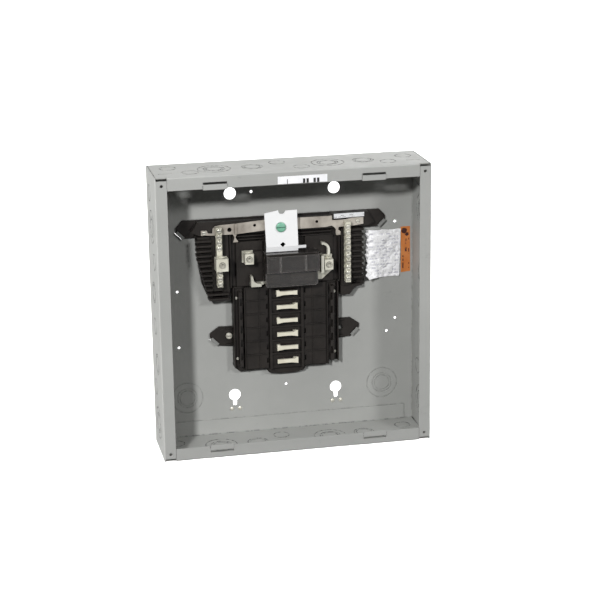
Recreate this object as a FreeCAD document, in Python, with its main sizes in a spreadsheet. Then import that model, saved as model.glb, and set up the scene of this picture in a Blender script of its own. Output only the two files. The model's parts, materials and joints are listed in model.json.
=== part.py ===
import FreeCAD, Part
import math
import os
import Sketcher

# Residential load center, open enclosure with its main-lug interior.
# Frame: X to the right, Y into the wall, Z up; millimetres.
# The origin is the middle of the outer back face, so the front opening is at Y = -box_depth.

os.makedirs("parts", exist_ok=True)
doc = FreeCAD.newDocument("ResidentialLoadCenter")

# ---------------------------------------------------------------- driving sizes
SIZES = {
    # enclosure sheet metal
    "box_width": 361.95, "box_height": 380.0, "box_depth": 88.9, "sheet_gauge": 1.5,
    "flange_width": 15.4, "lip_height": 16.6, "weld_flange": 22.0, "bend_outer": 1.6,
    "bend_inner": 0.5, "corner_notch": 3.6, "lip_setback": 5.0,
    "cover_hole_across": 172.5, "cover_hole_up": 180.0, "cover_hole_radius": 2.0,
    "cover_slot_across": 104.0, "cover_slot_long": 31.0, "cover_slot_high": 3.0,
    "cover_slot_drop": 9.5, "tongue_raise": 0.6, "lip_gap": 0.35,
    "corner_slot_near": 154.5, "corner_slot_far": 172.5, "corner_slot_depth": 61.5,
    "corner_slot_wide": 2.0, "seam_wide": 0.7,
    "keyhole_across": 70.5, "keyhole_top": 146.0, "keyhole_bottom": -134.8,
    "keyhole_radius": 8.0, "keyslot_width": 5.5, "keyslot_reach": 12.7,
    "small_hole_radius": 1.7, "pilot_radius": 1.4, "pilot_depth": 0.5,
    "groove_depth": 0.5, "groove_width": 1.3,
    "knockout_half": 11.1, "knockout_three": 14.3, "knockout_large": 21.9,
    "back_knockout_across": 136.0, "back_knockout_up": -134.0,
    # lanced hooks over the interior's feet
    "hook_length": 13.0, "hook_gap": 0.35, "hook_height": 4.9, "hook_lip": 2.4,
    "foot_thick": 3.2, "hook_window": 0.7,
    # labels
    "label_thick": 0.2,
    # breaker base
    "pole_pitch": 19.05, "first_row": 9.8, "base_half": 72.0, "base_top": 20.0,
    "base_bottom": -98.0, "base_high": 8.0, "seat_high": 12.0, "seat_inner": 24.0,
    "seat_outer": 56.0, "rib_thick": 1.2, "side_wall_high": 15.0,
    "lower_foot_reach": 103.0, "lower_foot_up": -48.5, "foot_hole_radius": 3.2,
    "foot_hole_across": -77.2, "foot_hole_up": -49.0,
    # bus bars and stabs
    "bar_inner": 8.0, "bar_outer": 19.0, "bar_thick": 2.5, "bar_bottom": -93.0, "bar_top": 34.0,
    "stab_half": 14.2, "stab_high": 4.8, "stab_front": 21.4, "stab_sheet": 1.5, "stab_leg": 5.0,
    "stab_flare": 9.4, "stab_skirt": 17.6, "stab_leg_high": 6.0,
    "barrier_inner": 20.0, "barrier_outer": 23.5, "barrier_high": 16.0, "barrier_rib": 2.0,
    "cover_thick": 1.6,
    # line side
    "line_half": 75.0, "line_top": 93.0, "line_floor": 6.0, "platform_high": 10.5,
    "plate_thick": 2.5, "link_screw_across": 15.5, "link_screw_up": 27.6, "link_hole": 2.3,
    "lug_wide": 12.2, "lug_long": 14.0, "lug_high": 16.0, "lug_bore_radius": 4.4,
    "lug_bore_high": 6.6, "lug_hole_radius": 4.2, "lug_screw_radius": 3.9, "lug_pad_gap": 0.2,
    "lug_left_across": -51.2, "lug_left_up": 62.0, "lug_right_across": 56.6, "lug_right_up": 47.5,
    "shield_left": -30.0, "shield_right": 41.0, "shield_low": 21.4, "shield_step": 40.6,
    "shield_up": 68.4, "shield_back": 13.4, "shield_lower_front": 30.0,
    "shield_upper_front": 40.0, "shield_wall": 1.8,
    # neutral side
    "wing_left": -144.0, "wing_right": 140.0, "wing_low": 93.6, "wing_up": 113.5,
    "wing_high": 14.0, "strap_thick": 2.0,
    "neutral_left_across": -90.5, "neutral_right_across": 83.6, "neutral_wide": 7.2,
    "neutral_left_low": 25.5, "neutral_left_up": 106.4,
    "neutral_right_low": 20.5, "neutral_right_up": 103.4, "neutral_deep": 10.0,
    "terminal_pitch": 7.94, "terminal_bore": 2.6, "terminal_hole": 2.35, "terminal_shank": 2.3,
    "terminal_head": 3.2, "terminal_head_high": 2.2,
    "neutral_lug_wide": 16.6, "neutral_lug_long": 17.0, "neutral_lug_high": 16.0,
    "neutral_lug_bore": 4.5, "neutral_lug_bore_high": 6.5, "neutral_lug_hole": 4.2,
    "neutral_lug_screw": 3.9, "neutral_lug_up": 59.7, "neutral_lug_across": -89.7,
    "bond_across": -8.1, "bond_up": 103.1, "bond_plate_left": -30.0, "bond_plate_right": 14.0,
    "bond_tail_right": 26.0, "bond_plate_up": 125.2, "bond_plate_bend": 76.0, "bond_plate_low": 69.0,
    "bond_tail_low": 72.4,
    "bond_plate_thick": 1.5, "bond_head_radius": 6.4, "bond_head_high": 3.4, "bond_shank": 2.5,
    "screw_clearance": 0.3, "pad_thick": 1.0,
}
ROWS = 6

sheet = doc.addObject("Spreadsheet::Sheet", "Sizes")
for index, (alias, number) in enumerate(SIZES.items(), start=1):
    sheet.set(f"A{index}", alias)
    sheet.set(f"B{index}", str(number))
    sheet.setAlias(f"B{index}", alias)
doc.recompute()


class Size:
    """A number together with the spreadsheet expression it comes from."""

    def __init__(self, value, text):
        self.value = float(value)
        self.text = text

    @staticmethod
    def of(item):
        return item if isinstance(item, Size) else Size(item, f"({item:.6f})")

    def join(self, other, sign, value):
        return Size(value, f"({self.text} {sign} {other.text})")

    def __add__(self, other):
        other = Size.of(other)
        return self.join(other, "+", self.value + other.value)

    def __radd__(self, other):
        return Size.of(other) + self

    def __sub__(self, other):
        other = Size.of(other)
        return self.join(other, "-", self.value - other.value)

    def __rsub__(self, other):
        return Size.of(other) - self

    def __mul__(self, other):
        other = Size.of(other)
        return self.join(other, "*", self.value * other.value)

    def __rmul__(self, other):
        return Size.of(other) * self

    def __truediv__(self, other):
        other = Size.of(other)
        return self.join(other, "/", self.value / other.value)

    def __neg__(self):
        return Size.of(0) - self


class Sheet:
    """Spreadsheet sizes by name."""

    def __getattr__(self, alias):
        return Size(SIZES[alias], f"Sizes.{alias}")


s = Sheet()


def bind(target, path, size):
    """Drive one property of an object from the spreadsheet."""
    target.setExpression(path, Size.of(size).text)


# ---------------------------------------------------------------- outlines
def poly(*points):
    return ("poly", points)


def rect(u0, u1, v0, v1):
    return poly((u0, v0), (u1, v0), (u1, v1), (u0, v1))


def disc(u, v, radius):
    return ("disc", u, v, radius)


def ring(u, v, radius):
    return [disc(u, v, radius), disc(u, v, Size.of(radius) - s.groove_width)]


def slanted(cu, cv, direction, normal, half_length, near, far):
    """Rectangle lying along a direction, from near to far on the side of its normal."""
    corners = []
    for along, out in ((-1, near), (1, near), (1, far), (-1, far)):
        corners.append((cu + half_length * (along * direction[0]) + out * normal[0],
                        cv + half_length * (along * direction[1]) + out * normal[1]))
    return poly(*corners)


def mirrored(shapes):
    """The outlines reflected across the sketch's vertical axis."""
    result = []
    for shape in shapes:
        if shape[0] == "disc":
            result.append(disc(-Size.of(shape[1]), shape[2], shape[3]))
        else:
            result.append(poly(*[(-Size.of(u), v) for u, v in shape[1]]))
    return result


# ---------------------------------------------------------------- one sub-part
pieces = []


class Piece:
    """A sub-part: one body with its own label and placement.

    Sketches on XZ are raised toward the front (-Y), on XY upward, on YZ to the right.
    """

    def __init__(self, label, across=0, depth=0, up=0, several=False):
        self.body = doc.addObject("PartDesign::Body", label)
        self.body.Label = label
        self.body.AllowCompound = several
        bind(self.body, "Placement.Base.x", across)
        bind(self.body, "Placement.Base.y", depth)
        bind(self.body, "Placement.Base.z", up)
        self.cuts = []
        pieces.append(self)

    def sketch(self, plane, at, shapes):
        support = [f for f in self.body.Origin.OriginFeatures if f.Role == plane + "_Plane"][0]
        sketch = self.body.newObject("Sketcher::SketchObject", "Outline")
        sketch.AttachmentSupport = (support, [""])
        sketch.MapMode = "FlatFace"
        bind(sketch, "AttachmentOffset.Base.z", at)
        for shape in shapes:
            if shape[0] == "disc":
                self.draw_disc(sketch, *shape[1:])
            else:
                self.draw_polygon(sketch, shape[1])
        return sketch

    @staticmethod
    def fix(sketch, kind, geometry, point, size):
        size = Size.of(size)
        number = sketch.addConstraint(
            Sketcher.Constraint(kind, -1, 1, geometry, point, size.value))
        bind(sketch, f"Constraints[{number}]", size)

    def draw_disc(self, sketch, u, v, radius):
        u, v, radius = Size.of(u), Size.of(v), Size.of(radius)
        centre = FreeCAD.Vector(u.value, v.value, 0)
        circle = sketch.addGeometry(
            Part.Circle(centre, FreeCAD.Vector(0, 0, 1), radius.value), False)
        number = sketch.addConstraint(Sketcher.Constraint("Radius", circle, radius.value))
        bind(sketch, f"Constraints[{number}]", radius)
        self.fix(sketch, "DistanceX", circle, 3, u)
        self.fix(sketch, "DistanceY", circle, 3, v)

    def draw_polygon(self, sketch, points):
        points = [(Size.of(u), Size.of(v)) for u, v in points]
        count = len(points)
        lines = []
        for k in range(count):
            here, after = points[k], points[(k + 1) % count]
            lines.append(sketch.addGeometry(Part.LineSegment(
                FreeCAD.Vector(here[0].value, here[1].value, 0),
                FreeCAD.Vector(after[0].value, after[1].value, 0)), False))
        for k in range(count):
            sketch.addConstraint(Sketcher.Constraint(
                "Coincident", lines[k], 2, lines[(k + 1) % count], 1))
        for k in range(count):
            self.fix(sketch, "DistanceX", lines[k], 1, points[k][0])
            self.fix(sketch, "DistanceY", lines[k], 1, points[k][1])

    def pad(self, plane, at, thick, *shapes):
        feature = self.body.newObject("PartDesign::Pad", "Pad")
        feature.Profile = self.sketch(plane, at, shapes)
        bind(feature, "Length", thick)
        return self

    def cut(self, plane, at, deep, *shapes):
        """Remove material from the sketch backward (against the sketch's facing)."""
        before = self.body.Tip
        feature = self.body.newObject("PartDesign::Pocket", "Pocket")
        feature.Profile = self.sketch(plane, at, shapes)
        bind(feature, "Length", deep)
        self.cuts.append((before, feature))
        return self

    def soften(self, radius, wanted):
        """Fillet every edge the test picks."""
        doc.recompute()
        last = self.body.Tip
        names = [f"Edge{n}" for n, edge in enumerate(last.Shape.Edges, start=1) if wanted(edge)]
        if not names:
            raise ValueError(f"{self.body.Label}: no edge to soften")
        feature = self.body.newObject("PartDesign::Fillet", "Fillet")
        feature.Base = (last, names)
        bind(feature, "Radius", radius)
        return self


def runs_along(edge, axis):
    start, end = edge.Vertexes[0].Point, edge.Vertexes[-1].Point
    other = [n for n in range(3) if n != axis]
    return (len(edge.Vertexes) == 2 and abs(start[axis] - end[axis]) > 1.0
            and all(abs(start[n] - end[n]) < 1e-6 for n in other))


def circle_at(edge, radius, height):
    """A round edge of one radius lying this far in front of the piece's back."""
    curve = edge.Curve
    return (isinstance(curve, Part.Circle) and abs(curve.Radius - radius) < 1e-4
            and abs(curve.Center.y + height) < 1e-4)


# ---------------------------------------------------------------- shared positions
half_width = s.box_width / 2
half_height = s.box_height / 2
wall = -s.sheet_gauge          # interior pieces stand on the inner face of the back
slope = math.sqrt(0.5)
row_heights = [s.first_row - s.pole_pitch * row for row in range(ROWS)]
row_edges = [s.first_row + s.pole_pitch * (0.5 - row) for row in range(ROWS + 1)]
hooks = [
    # middle of the foot edge, which side it faces
    (s.lower_foot_reach - 6, s.lower_foot_up - 7.5, 1),
    (6 - s.lower_foot_reach, s.lower_foot_up - 7.5, -1),
    (s.wing_right - 4.5, s.wing_low + 0.4, 1),
    (s.wing_left + 4.5, s.wing_low + 0.4, -1),
]
small_holes = [(-42, 147), (-145, 16), (-145, -62), (155, 94), (155, -42), (143, -60), (1, -125)]
keyholes = [(side * s.keyhole_across, up, turn) for side in (-1, 1)
            for up, turn in ((s.keyhole_top, 1), (s.keyhole_bottom, -1))]
side_knockouts = [(-150, -44, 3), (-104, -30, 1), (-66, -52, 2), (-16, -44, 1), (30, -44, 2),
                  (74, -58, 1), (118, -44, 3), (160, -30, 1)]
end_knockouts = [(-156, -28, 1), (-131, -60, 1), (-98, -46, 3), (-48, -46, 2), (-12, -28, 1),
                 (14, -62, 1), (52, -46, 3), (100, -44, 2), (130, -60, 1), (158, -30, 1)]
knockout_radii = [s.knockout_half, s.knockout_three, s.knockout_large]


def knockout_rings(places, place):
    rings = []
    for along, depth, count in places:
        for radius in knockout_radii[:count]:
            rings += ring(*place(along, depth), radius)
    return rings


# ---------------------------------------------------------------- enclosure
body = Piece("enclosure_body")
inner_flange = half_width - s.flange_width
front_inner = s.sheet_gauge - s.box_depth
body.pad("XY", -half_height, s.box_height, poly(
    (-half_width, 0), (half_width, 0), (half_width, -s.box_depth), (inner_flange, -s.box_depth),
    (inner_flange, front_inner), (half_width - s.sheet_gauge, front_inner),
    (half_width - s.sheet_gauge, wall), (s.sheet_gauge - half_width, wall),
    (s.sheet_gauge - half_width, front_inner), (-inner_flange, front_inner),
    (-inner_flange, -s.box_depth), (-half_width, -s.box_depth)))


def outer_bend(edge):
    point = edge.Vertexes[0].Point
    return (runs_along(edge, 2) and abs(abs(point.x) - half_width.value) < 1e-6)


def inner_bend(edge):
    point = edge.Vertexes[0].Point
    return (runs_along(edge, 2)
            and abs(abs(point.x) - half_width.value + s.sheet_gauge.value) < 1e-6)


body.soften(s.bend_outer, outer_bend)
body.soften(s.bend_inner, inner_bend)
notches = [rect(side * (inner_flange - 0.5), side * (half_width - s.sheet_gauge),
                end * (half_height - s.corner_notch), end * (half_height + 1))
           for side in (-1, 1) for end in (-1, 1)]
body.cut("XZ", s.box_depth + 1, s.sheet_gauge + 1.2, *notches)
body.cut("XZ", s.box_depth + 1, s.sheet_gauge + 2, *[
    disc(side * s.cover_hole_across, end * s.cover_hole_up, s.cover_hole_radius)
    for side in (-1, 1) for end in (-1, 1)])
body.cut("XZ", s.sheet_gauge + 1, s.sheet_gauge + 2, *[
    disc(across, up, s.keyhole_radius) for across, up, turn in keyholes])
body.cut("XZ", s.sheet_gauge + 1, s.sheet_gauge + 2, *[
    rect(across - s.keyslot_width / 2, across + s.keyslot_width / 2,
         up, up + turn * s.keyslot_reach) for across, up, turn in keyholes])
body.cut("XZ", s.sheet_gauge + 1, s.sheet_gauge + 2, *[
    disc(across, up + turn * s.keyslot_reach, s.keyslot_width / 2)
    for across, up, turn in keyholes])
body.cut("XZ", s.sheet_gauge + 1, s.sheet_gauge + 2,
         *[disc(across, up, s.small_hole_radius) for across, up in small_holes],
         disc(s.bond_across, s.bond_up, s.bond_shank + s.screw_clearance),
         disc(s.foot_hole_across, s.foot_hole_up, 2.2))
body.cut("XZ", s.sheet_gauge, s.pilot_depth, *[
    disc(across + step, up + turn * 19.5, s.pilot_radius)
    for across, up, turn in keyholes if turn == -1 for step in (-6, 6)])
back_rings = []
for radius in knockout_radii:
    for side in (-1, 1):
        back_rings += ring(side * s.back_knockout_across, s.back_knockout_up, radius)
body.cut("XZ", s.sheet_gauge, s.groove_depth, *back_rings)
side_rings = knockout_rings(side_knockouts, lambda up, depth: (depth, up))
for face in (s.groove_depth - half_width, s.sheet_gauge - half_width,
             half_width - s.sheet_gauge + s.groove_depth, half_width):
    body.cut("YZ", face, s.groove_depth, *side_rings)
hook_walls, hook_lips, hook_windows = [], [], []
for across, up, side in hooks:
    along, outward = (side * slope, slope), (side * slope, -slope)
    half_hook = s.hook_length / 2
    hook_walls.append(slanted(across, up, along, outward, half_hook,
                              s.hook_gap, s.hook_gap + s.sheet_gauge))
    hook_lips.append(slanted(across, up, along, outward, half_hook,
                             -s.hook_lip, s.hook_gap + s.sheet_gauge))
    hook_windows.append(slanted(across, up, along, outward, half_hook,
                                s.hook_gap + s.sheet_gauge,
                                s.hook_gap + s.sheet_gauge + s.hook_window))
body.pad("XZ", s.sheet_gauge / 2, s.sheet_gauge / 2 + s.hook_height, *hook_walls)
body.pad("XZ", s.sheet_gauge + s.foot_thick + s.hook_gap,
         s.hook_height - s.foot_thick - s.hook_gap, *hook_lips)
body.cut("XZ", s.sheet_gauge + 1, s.sheet_gauge + 2, *hook_windows)


def end_wall(label, end):
    """Top (end = 1) or bottom (end = -1) wall with its lip and weld flange."""
    piece = Piece(label, up=end * half_height)
    plate_half = half_width - s.sheet_gauge
    lip_half = inner_flange - s.lip_gap
    low = -s.sheet_gauge if end > 0 else Size.of(0)

    def span(near, far):
        return (-far, -near) if end > 0 else (near, far)

    piece.pad("XY", low, s.sheet_gauge, poly(
        (-plate_half, wall - 0.8), (0.8 - plate_half, wall), (plate_half - 0.8, wall),
        (plate_half, wall - 0.8), (plate_half, s.lip_setback - s.box_depth),
        (lip_half, s.lip_setback - s.box_depth), (lip_half, -s.box_depth),
        (-lip_half, -s.box_depth), (-lip_half, s.lip_setback - s.box_depth),
        (-plate_half, s.lip_setback - s.box_depth)))
    piece.pad("XZ", s.box_depth - s.sheet_gauge, s.sheet_gauge,
              rect(-lip_half, lip_half, *span(Size.of(0), s.lip_height)))
    piece.pad("XZ", s.sheet_gauge, s.sheet_gauge,
              rect(12 - plate_half, plate_half - 12, *span(Size.of(0), s.weld_flange)))

    def corner(edge):
        point = edge.Vertexes[0].Point
        return (runs_along(edge, 0) and abs(point.z) < 1e-6
                and abs(point.y + s.box_depth.value) < 1e-6)

    piece.soften(s.bend_outer, corner)
    slots = [side * s.cover_slot_across for side in (-1, 1)]
    half_slot = s.cover_slot_long / 2
    piece.pad("XZ", s.box_depth - s.sheet_gauge + s.tongue_raise, s.sheet_gauge, *[
        rect(middle - half_slot, middle + half_slot,
             *span(s.cover_slot_drop + 1.5, s.lip_height + 1.4)) for middle in slots])
    piece.cut("XZ", s.box_depth + 2, s.sheet_gauge + 4, *[
        rect(middle - half_slot, middle + half_slot,
             *span(s.cover_slot_drop - s.cover_slot_high / 2,
                   s.cover_slot_drop + s.cover_slot_high / 2)) for middle in slots])
    piece.cut("XY", low + s.sheet_gauge + 1, s.sheet_gauge + 2, *[
        rect(side * s.corner_slot_near, side * s.corner_slot_far,
             -s.corner_slot_depth, s.corner_slot_wide - s.corner_slot_depth)
        for side in (-1, 1)])
    seam_top = Size.of(0) if end > 0 else s.seam_wide
    piece.cut("XY", seam_top, s.seam_wide, *[
        rect(side * (plate_half - s.seam_wide), side * (plate_half + 1), 8 - s.box_depth, -6)
        for side in (-1, 1)])
    rings = knockout_rings(end_knockouts, lambda across, depth: (across, depth))
    faces = (Size.of(0), s.groove_depth - s.sheet_gauge)
    if end < 0:
        faces = (s.groove_depth, s.sheet_gauge)
    for face in faces:
        piece.cut("XY", face, s.groove_depth, *rings)


end_wall("top_end_wall", 1)
end_wall("bottom_end_wall", -1)

# ---------------------------------------------------------------- blank labels
lip_face = -s.box_depth
Piece("id_label", depth=lip_face).pad("XZ", 0, s.label_thick, rect(-23, 42, 174.2, 184))
Piece("wiring_label", depth=wall).pad("XZ", 0, s.label_thick, poly(
    (113, 19), (160.4, 18), (162.6, 44), (162.2, 83), (139, 84), (114.5, 83.4), (112, 66),
    (114, 58), (112.6, 40)))
Piece("notice_label", depth=wall).pad("XZ", 0, s.label_thick, poly(
    (163.2, 22), (176.4, 23), (176, 86), (161.8, 86), (163, 85), (163.4, 44)))
Piece("wing_label", depth=wall - s.wing_high).pad("XZ", 0, s.label_thick, poly(
    (67, 106.6), (108.6, 107.4), (108.6, 113.2), (67, 113)))

# ---------------------------------------------------------------- breaker base
base = Piece("interior_base", depth=wall)
base.pad("XZ", 0, s.base_high, poly(
    (-s.base_half, s.base_top), (-s.base_half, s.base_bottom + 6), (-65, s.base_bottom - 0.8),
    (-28, s.base_bottom), (-24, s.base_bottom - 6), (-12, s.base_bottom - 8),
    (12, s.base_bottom - 8), (24, s.base_bottom - 6), (28, s.base_bottom),
    (60, s.base_bottom), (60, s.base_bottom + 5.5), (s.base_half, s.base_bottom + 5.5),
    (s.base_half, s.base_top)))
foot = [(s.base_half - 2, -36), (91, -36), (s.lower_foot_reach, s.lower_foot_up + 4),
        (s.lower_foot_reach, s.lower_foot_up - 1.5), (91, s.lower_foot_up - 13.5),
        (s.base_half - 2, -64)]
base.pad("XZ", 0, s.foot_thick, poly(*foot), *mirrored([poly(*foot)]))
gusset = rect(s.base_half - 2, s.base_half + 9, -38.5, -37)
gusset_low = rect(s.base_half - 2, s.base_half + 9, -61.5, -60)
base.pad("XZ", s.foot_thick, 3, gusset, gusset_low, *mirrored([gusset, gusset_low]))
seat = rect(s.seat_inner, s.seat_outer, s.base_bottom + 2, s.base_top - 1)
base.pad("XZ", s.base_high, s.seat_high - s.base_high, seat, *mirrored([seat]))
edge_wall = rect(s.base_half - 1.5, s.base_half, s.base_bottom + 6, s.base_top)
inner_wall = rect(s.seat_outer, s.seat_outer + 1.4, s.base_bottom + 2, s.base_top - 1)
base.pad("XZ", s.base_high, s.side_wall_high - s.base_high, edge_wall, inner_wall,
         *mirrored([edge_wall, inner_wall]))
dividers = [rect(s.seat_inner + 4, s.seat_outer, edge - s.rib_thick / 2, edge + s.rib_thick / 2)
            for edge in row_edges[1:-1]]
base.pad("XZ", s.seat_high, 1.4, *dividers, *mirrored(dividers))
steps = [rect(36, 37.4, s.base_bottom + 2, s.base_top - 1)]
base.pad("XZ", s.seat_high, 0.8, *steps, *mirrored(steps))
openings = [rect(s.seat_inner + 0.8, s.seat_inner + 3.2, middle - 3.5, middle + 3.5)
            for middle in row_heights]
base.cut("XZ", s.seat_high, 3, *openings, *mirrored(openings))
base.pad("XZ", s.base_high, s.bar_thick, rect(-5, 5, s.base_bottom, s.base_top))
holes = [disc(s.foot_hole_across, s.foot_hole_up, s.foot_hole_radius)]
base.cut("XZ", s.foot_thick + 1, s.foot_thick + 2, *holes, *mirrored(holes))

# ---------------------------------------------------------------- hook rails
for label, side in (("breaker_rail_left", -1), ("breaker_rail_right", 1)):
    rail = Piece(label, depth=wall - s.base_high)
    foot_strip = rect(58.6, 69.4, -90, 17)
    upright = rect(63.4, 65.2, -88, 15)
    tips = [rect(60.4, 65.2, middle - 4.5, middle + 4.5) for middle in row_heights]
    noses = [rect(60.4, 61.6, middle - 4.5, middle + 4.5) for middle in row_heights]
    turn = mirrored if side < 0 else list
    rail.pad("XZ", 0, 2, *turn([foot_strip]))
    rail.pad("XZ", 2, 7.5, *turn([upright]))
    rail.pad("XZ", 8, 1.5, *turn(tips))
    rail.pad("XZ", 6, 2, *turn(noses))
    rail.cut("XZ", 3, 4, *turn([disc(67.3, middle, 1.2) for middle in (-80, 5)]))


# ---------------------------------------------------------------- bus bars with stabs
def bus_bar(label, side, rows):
    bar = Piece(label, depth=wall - s.base_high)
    turn = mirrored if side < 0 else list
    front = s.stab_front - s.base_high
    middles = [row_heights[row] for row in rows]
    bar.pad("XZ", 0, s.bar_thick, *turn([rect(s.bar_inner, s.bar_outer, s.bar_bottom, s.bar_top)]))
    leg_half, blade_half, flare_half = s.stab_leg_high / 2, s.stab_high / 2, s.stab_flare / 2
    bar.pad("XZ", s.bar_thick, front - s.bar_thick, *turn([
        rect(s.stab_half - s.stab_leg, s.stab_half - 0.6, middle - leg_half, middle + leg_half)
        for middle in middles]))
    bar.pad("XZ", front - s.stab_sheet, s.stab_sheet, *turn([poly(
        (-s.stab_half, middle - blade_half - 0.5), (-8, middle - blade_half),
        (5, middle - blade_half), (10, middle - blade_half - 0.8),
        (s.stab_half, middle - flare_half + 0.8), (s.stab_half, middle + flare_half),
        (s.stab_half - 2.4, middle + flare_half), (s.stab_half - 5.2, middle + blade_half + 0.3),
        (3, middle + blade_half), (-8, middle + blade_half),
        (-s.stab_half, middle + blade_half + 0.7)) for middle in middles]))
    skirts = []
    for middle in middles:
        for edge in (-1, 1):
            skirts.append(rect(0.8 - s.stab_half, s.stab_half - s.stab_leg + 0.4,
                               middle + edge * (blade_half - s.stab_sheet),
                               middle + edge * blade_half))
    bar.pad("XZ", s.stab_skirt - s.base_high, s.stab_front - s.stab_skirt, *turn(skirts))
    bar.cut("XZ", s.bar_thick + 1, s.bar_thick + 2,
            *turn([disc(s.link_screw_across, s.link_screw_up, s.link_hole)]))


bus_bar("bus_bar_a", -1, (0, 2, 4))
bus_bar("bus_bar_b", 1, (1, 3, 5))

barrier = Piece("stab_barrier", depth=wall - s.base_high)
rail_low, rail_up = s.base_bottom + 1, s.base_top
cover_level = s.bar_thick + 0.4
leg_gaps = []
for row, middle in enumerate(row_heights):
    gap = rect(s.stab_half - s.stab_leg - 0.5, s.stab_half - 0.1,
               middle - s.stab_leg_high / 2 - 0.5, middle + s.stab_leg_high / 2 + 0.5)
    leg_gaps += mirrored([gap]) if row % 2 == 0 else [gap]
barrier.pad("XZ", cover_level, s.cover_thick,
            rect(-s.barrier_outer, s.barrier_outer, rail_low, rail_up), *leg_gaps)
side_rail = rect(s.barrier_inner, s.barrier_outer, rail_low, rail_up)
barrier.pad("XZ", 0, cover_level, side_rail, *mirrored([side_rail]))
ridge_level = cover_level + s.cover_thick
ridge_high = s.barrier_high - s.base_high - ridge_level
barrier.pad("XZ", ridge_level, ridge_high, side_rail, *mirrored([side_rail]))
barrier.pad("XZ", ridge_level, ridge_high, *[
    rect(-s.barrier_inner, s.barrier_inner, edge - s.barrier_rib / 2, edge + s.barrier_rib / 2)
    for edge in row_edges[1:-1]])

# ---------------------------------------------------------------- line side
line = Piece("line_base", depth=wall)
line.pad("XZ", 0, s.line_floor, rect(-s.line_half, s.line_half, s.base_top + 0.3, s.line_top))
line.pad("XZ", s.line_floor, s.base_high - s.line_floor,
         rect(-29, 27, s.base_top + 0.3, s.bar_top + 3))
platform_rise = s.platform_high - s.line_floor
line.pad("XZ", s.line_floor, platform_rise, rect(-66, -30, 20.8, 82), rect(28, 66, 20.8, 84))
wall_rib = [rect(s.line_half - 1.6, s.line_half, s.base_top + 0.3, s.line_top)]
line.pad("XZ", s.line_floor, 7.6, *wall_rib, *mirrored(wall_rib))
bridge_left, bridge_right, bridge_low, bridge_up = -43.6, -30.6, 53.5, 68.5
bridge_level = s.platform_high + s.plate_thick + s.screw_clearance
line.pad("XZ", s.line_floor, bridge_level - s.line_floor,
         rect(bridge_left, bridge_right, bridge_low, bridge_low + 3),
         rect(bridge_left, bridge_right, bridge_up - 3, bridge_up))
line.pad("XZ", bridge_level, 1.6, rect(bridge_left, bridge_right, bridge_low, bridge_up))
cross_ribs = [rect(-64, 64, up, up + 1.4) for up in (84.6, 88.8)]
line.pad("XZ", s.line_floor, 5, *cross_ribs)

plate = s.plate_thick
left_link = Piece("line_connector_left", depth=wall - s.platform_high)
left_link.pad("XZ", 0, plate, poly(
    (-58.6, 70), (-44, 70), (-44, 64.6), (-21, 64.6), (-21, s.bar_top), (-s.bar_inner, s.bar_top),
    (-s.bar_inner, 24), (-30, 24), (-30, 21.6), (-48.4, 21.6), (-48.4, 26), (-27.5, 26),
    (-27.5, 57.4), (-44, 57.4), (-44, 54), (-58.6, 54)))
left_link.pad("XZ", plate, 9, poly(
    (-48.4, 21.6), (-34.4, 21.6), (-34.4, 25.4), (-40, 26), (-44.6, 29.4), (-46, 36.6),
    (-48.4, 36.6), (-48.4, 26)))
left_link.cut("XZ", plate + 1, plate + 2, disc(-s.link_screw_across, s.link_screw_up, s.link_hole))

right_link = Piece("line_connector_right", depth=wall - s.platform_high)
right_link.pad("XZ", 0, plate, poly(
    (64, 58), (44, 58), (44, s.bar_top), (s.bar_inner, s.bar_top), (s.bar_inner, 24), (50, 24),
    (64, 36)))
right_link.pad("XZ", plate, 16.4, rect(45.4, 49.6, 36.6, 60.4))
right_link.cut("XZ", plate + 1, plate + 2, disc(s.link_screw_across, s.link_screw_up, s.link_hole))

strap_centre, strap_outer, strap_inner, strap_end = (49.8, 65.5), 10.5, 7.2, 58.6
turns = [math.radians(95 - 9.5 * step) for step in range(11)]
outer_arc = [(strap_centre[0] + strap_outer * math.cos(turn),
              strap_centre[1] + strap_outer * math.sin(turn)) for turn in turns]
inner_arc = [(strap_centre[0] + strap_inner * math.cos(turn),
              strap_centre[1] + strap_inner * math.sin(turn)) for turn in turns[::-1]]
curved = Piece("line_strap_right", depth=wall - s.platform_high)
curved.pad("XZ", 0, 8, poly(*outer_arc, (strap_centre[0] + strap_outer, strap_end),
                            (strap_centre[0] + strap_inner, strap_end), *inner_arc))

for label, across, up in (("main_lug_left", s.lug_left_across, s.lug_left_up),
                          ("main_lug_right", s.lug_right_across, s.lug_right_up)):
    lug = Piece(label, across, wall - s.platform_high - plate, up)
    lug.pad("XZ", 0, s.lug_high, rect(-s.lug_wide / 2, s.lug_wide / 2,
                                      -s.lug_long / 2, s.lug_long / 2))
    lug.cut("XY", s.lug_long / 2 + 1, s.lug_long + 2,
            disc(0, -s.lug_bore_high, s.lug_bore_radius))
    lug.cut("XZ", s.lug_high + 1, s.lug_high + 1 - s.lug_bore_high, disc(0, 0, s.lug_hole_radius))
    lug.soften(1.2, lambda edge: runs_along(edge, 2) and abs(abs(edge.Vertexes[0].Point.x)
               - s.lug_wide.value / 2) < 1e-6 and abs(edge.Vertexes[0].Point.y) > 5)


def set_screw(label, across, depth, up, radius, length, socket):
    """Hexagon-socket screw, its inner end at the given depth."""
    screw = Piece(label, across, depth, up)
    screw.pad("XZ", 0, length, disc(0, 0, radius))
    screw.cut("XZ", length, 4, poly(*[(socket * math.cos(math.radians(60 * n)),
                                       socket * math.sin(math.radians(60 * n)))
                                      for n in range(6)]))
    screw.soften(0.6, lambda edge: circle_at(edge, Size.of(radius).value, Size.of(length).value))


def swivel_pad(label, across, depth, up, radius):
    disc_pad = Piece(label, across, depth, up)
    disc_pad.pad("XZ", 0, s.pad_thick, disc(0, 0, radius))


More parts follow.
